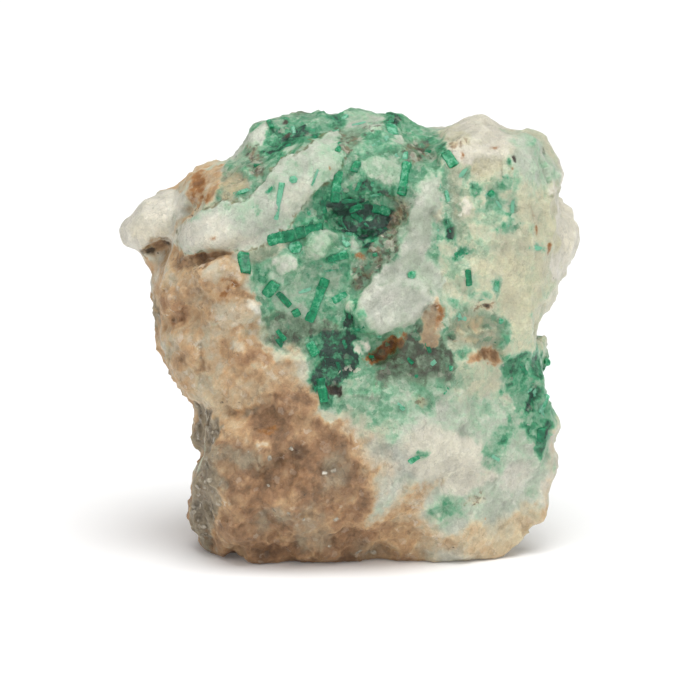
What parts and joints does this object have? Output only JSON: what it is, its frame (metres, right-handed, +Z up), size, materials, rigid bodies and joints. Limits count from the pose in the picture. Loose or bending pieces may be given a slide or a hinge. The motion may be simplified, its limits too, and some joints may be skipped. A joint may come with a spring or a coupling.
{
  "type": "emerald in matrix",
  "caption": "Small lump of milky quartz and iron-stained rock with green emerald prisms set in its broken front face.",
  "frame": {"origin": "under the middle of the stone's bounding box, on the surface it rests on", "axes": "+Z up, +X to the right along the stone's width, +Y away from the face with the crystals, so that face looks along -Y"},
  "size_m": [0.0498, 0.032, 0.0469],
  "materials": {
    "matrix": "broken quartz and feldspar, pale and translucent, tan where iron-stained",
    "emerald": "translucent green crystal, natural prism faces"
  },
  "bodies": {
    "root": {"matrix": "matrix", "emerald_long_rod": "emerald", "emerald_pale_end": "emerald", "emerald_tall_rod": "emerald", "emerald_banded_rod": "emerald", "emerald_bright_prism": "emerald", "emerald_edge_prism": "emerald", "emerald_thin_rod": "emerald", "emerald_rod_stump": "emerald", "emerald_slab_rod": "emerald", "emerald_slab_end": "emerald", "emerald_hollow_block": "emerald", "emerald_hollow_rod": "emerald", "emerald_hollow_stub": "emerald", "emerald_fan_rod": "emerald", "emerald_lower_rod": "emerald", "emerald_crest_block": "emerald", "emerald_dark_stub": "emerald", "emerald_upright_rod": "emerald", "emerald_round_end": "emerald", "emerald_shoulder_prism": "emerald", "emerald_right_rod": "emerald", "emerald_flank_prism": "emerald", "emerald_root_rod": "emerald", "emerald_root_stub": "emerald"}
  },
  "joints": []
}
